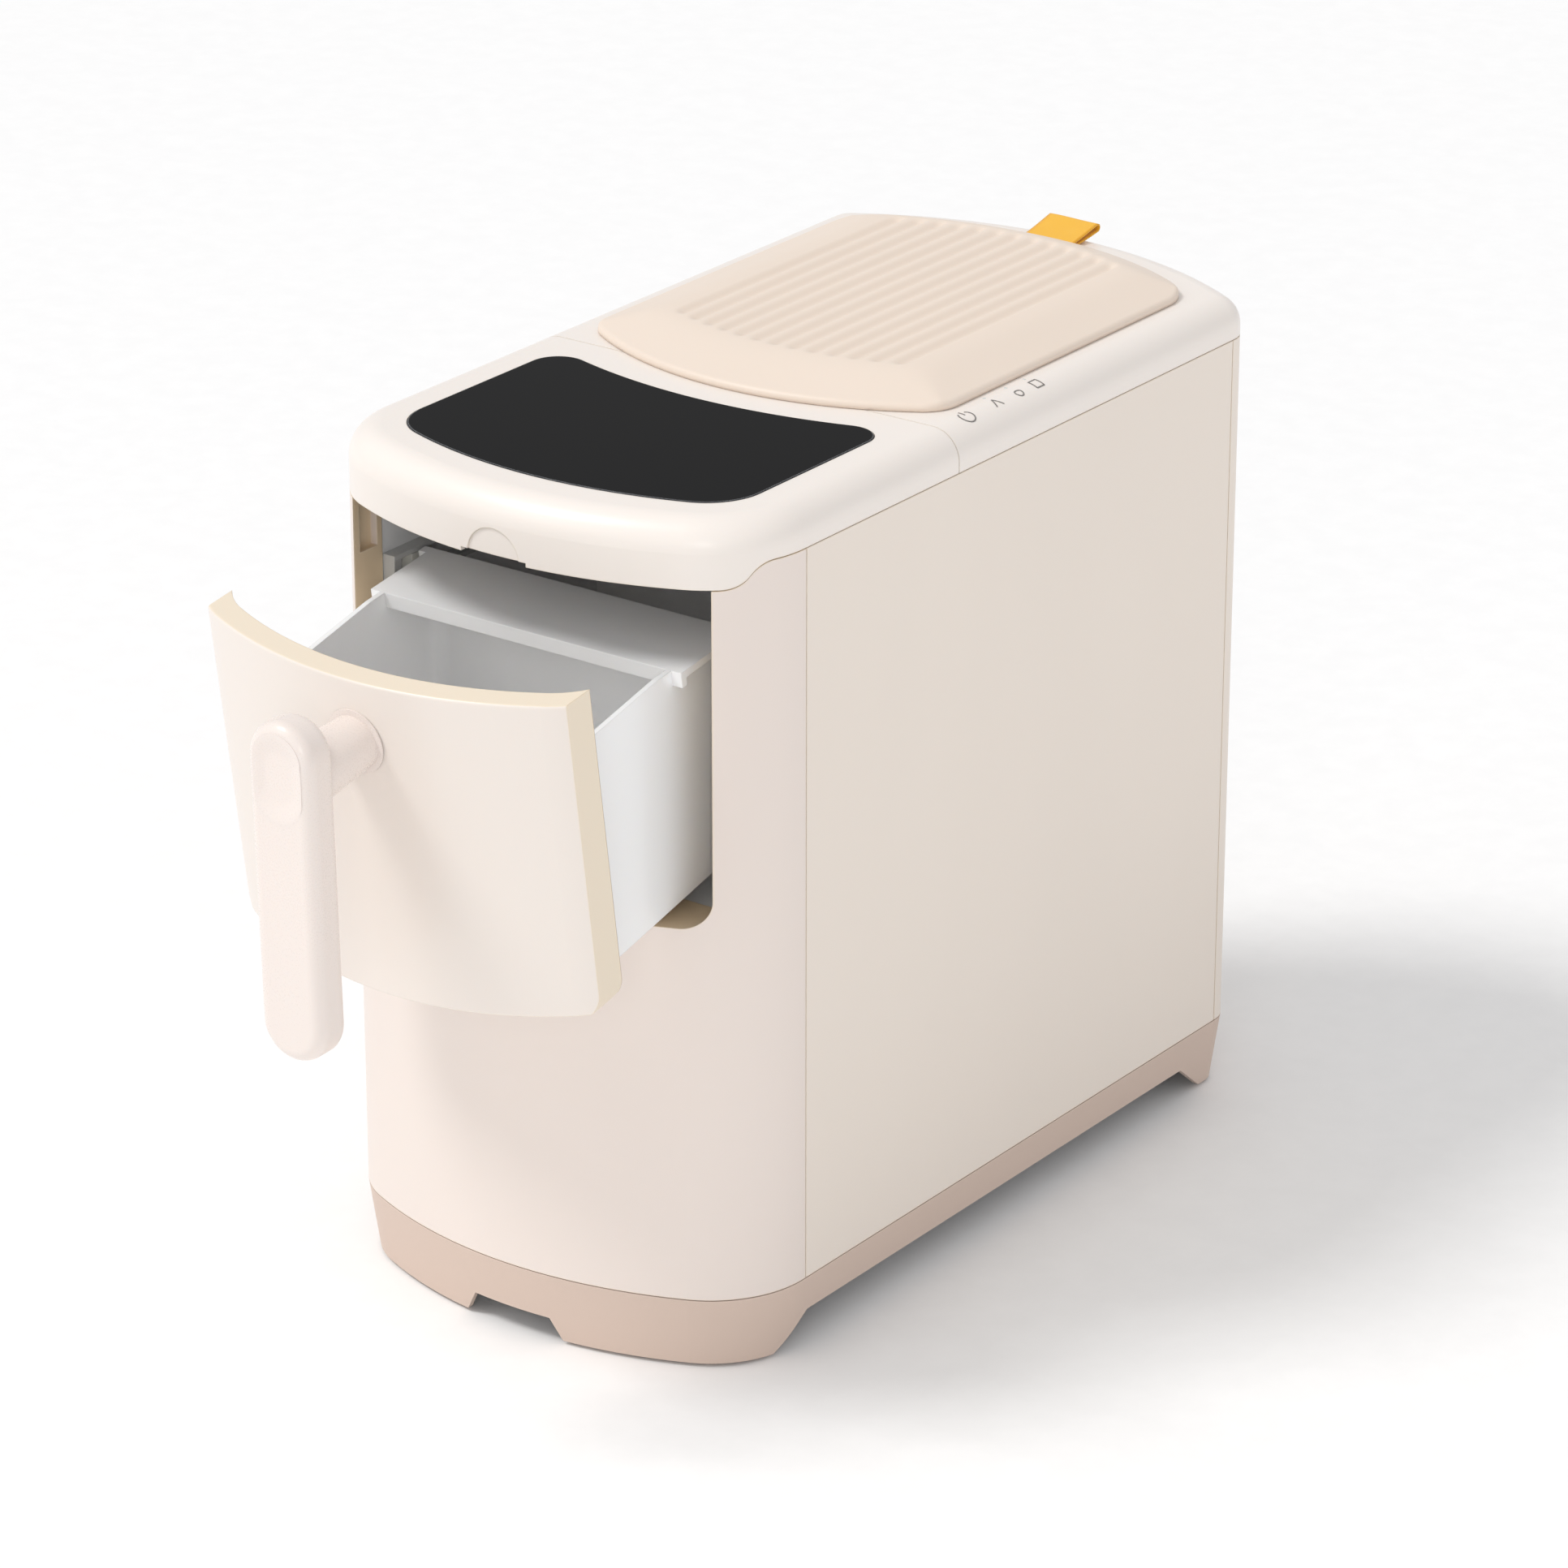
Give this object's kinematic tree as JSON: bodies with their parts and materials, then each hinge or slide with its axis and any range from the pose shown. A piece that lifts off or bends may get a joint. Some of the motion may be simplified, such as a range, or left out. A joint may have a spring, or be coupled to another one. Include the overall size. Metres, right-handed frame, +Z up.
{
  "type": "ice maker",
  "caption": "Countertop bullet-ice maker with a pull-out, tip-down ice drawer, an upright handle, a dark top window and a ribbed water tank lid.",
  "frame": {"origin": "centre of the body's footprint, on the counter plane under the feet", "axes": "+Z up, -Y towards the drawer front, +X the right side seen from the front"},
  "size_m": [0.2, 0.5074, 0.3516],
  "materials": {
    "bin_white": "smooth food-grade white",
    "board_green": "circuit board",
    "brass_valve": "brass",
    "compressor_black": "black paint",
    "condenser_alu": "bare fins",
    "copper_tube": "copper pipe",
    "cover_white": "soft gloss warm white",
    "drawer_cream": "soft gloss cream",
    "evaporator_metal": "nickel-plated metal",
    "foam": "expanded foam",
    "foot_rubber": "matte black rubber",
    "gasket_silicone": "translucent silicone",
    "handle_cream": "soft gloss cream",
    "hose_silicone": "translucent silicone",
    "inlet_black": "black plastic",
    "lid_cream": "satin cream",
    "liner_grey": "grey moulded plastic",
    "liner_white": "white moulded plastic",
    "motor_black": "black plastic",
    "pad_cream": "satin cream",
    "plug_rubber": "grey rubber",
    "sensor_black": "infrared-passing plastic",
    "shell_cream": "satin cream, very fine texture",
    "shoe_acetal": "acetal",
    "side_cream": "satin cream, very fine texture",
    "skirt_tan": "fine matte, warm tan moulded plastic",
    "steel_small": "plain steel",
    "tab_fabric": "golden yellow woven ribbon",
    "tank_white": "smooth white plastic",
    "tray_grey": "grey plastic",
    "unit_grey": "warm dark grey plastic",
    "white_plastic_inner": "plain moulded plastic",
    "window_black": "mirror-gloss black smoked acrylic",
    "zinc_sheet": "zinc-plated sheet"
  },
  "bodies": {
    "chassis": {"base_plate": "zinc_sheet", "base_skirt": "skirt_tan", "chamber_foam": "foam", "compressor": "compressor_black", "compressor_mounts": "foot_rubber", "condenser": "condenser_alu", "control_board": "board_green", "deck_plate": "white_plastic_inner", "drain_pipe": "hose_silicone", "drain_spout": "white_plastic_inner", "drawer_rails": "liner_grey", "evaporator": "evaporator_metal", "fan_frame": "motor_black", "feed_pipe": "hose_silicone", "front_panel": "shell_cream", "hot_gas_valve": "brass_valve", "ice_sensors": "sensor_black", "ice_trough": "liner_white", "inner_liner": "liner_white", "power_inlet": "inlet_black", "pump_hose": "hose_silicone", "rear_panel": "side_cream", "rear_screws": "steel_small", "rubber_feet": "foot_rubber", "side_panel_left": "side_cream", "side_panel_right": "side_cream", "suction_pipe": "copper_tube", "tank_filter": "tray_grey", "top_front_cover": "cover_white", "top_rear_cover": "cover_white", "top_window": "window_black", "touch_board": "board_green", "tray_brackets": "zinc_sheet", "tray_motor": "motor_black", "unit_cover": "unit_grey", "water_pump": "motor_black", "water_tank": "tank_white"},
    "carriage": {"guide_shoes": "shoe_acetal", "tip_shaft": "steel_small"},
    "drawer": {"drawer_front": "drawer_cream", "ice_bin": "bin_white", "handle_stem": "handle_cream", "handle_grip": "handle_cream", "thumb_pad": "pad_cream", "handle_screws": "steel_small"},
    "lid": {"tank_lid": "lid_cream", "lid_gasket": "gasket_silicone", "pull_tab": "tab_fabric"},
    "fan": {"fan_rotor": "motor_black"},
    "tray": {"water_tray": "tray_grey", "tray_shaft": "steel_small"},
    "plug": {"drain_plug": "plug_rubber"}
  },
  "joints": [
    {"name": "drawer_slide", "type": "slide", "parent": "chassis", "child": "carriage", "axis": [0, -1, 0], "range_m": [-0.0799, 0.009]},
    {"name": "drawer_tip", "type": "hinge", "parent": "carriage", "child": "drawer", "pos_m": [0, -0.1367, 0.282], "axis": [1, 0, 0], "range_deg": [-8.11, 0.93]},
    {"name": "lid_lift", "type": "slide", "parent": "chassis", "child": "lid", "axis": [0, 0, 1], "range_m": [0, 0.06]},
    {"name": "fan_spin", "type": "hinge", "parent": "chassis", "child": "fan", "pos_m": [0, 0.1465, 0.084], "axis": [0, 1, 0], "continuous": true},
    {"name": "tray_tip", "type": "hinge", "parent": "chassis", "child": "tray", "pos_m": [0, 0.034, 0.31], "axis": [1, 0, 0], "range_deg": [0, 70]},
    {"name": "plug_pull", "type": "slide", "parent": "chassis", "child": "plug", "axis": [0, 1, 0], "range_m": [0, 0.018]}
  ],
  "couplings": [
    {"joint": "drawer_tip", "follows": "drawer_slide", "rad_per_m": 1.7694}
  ]
}
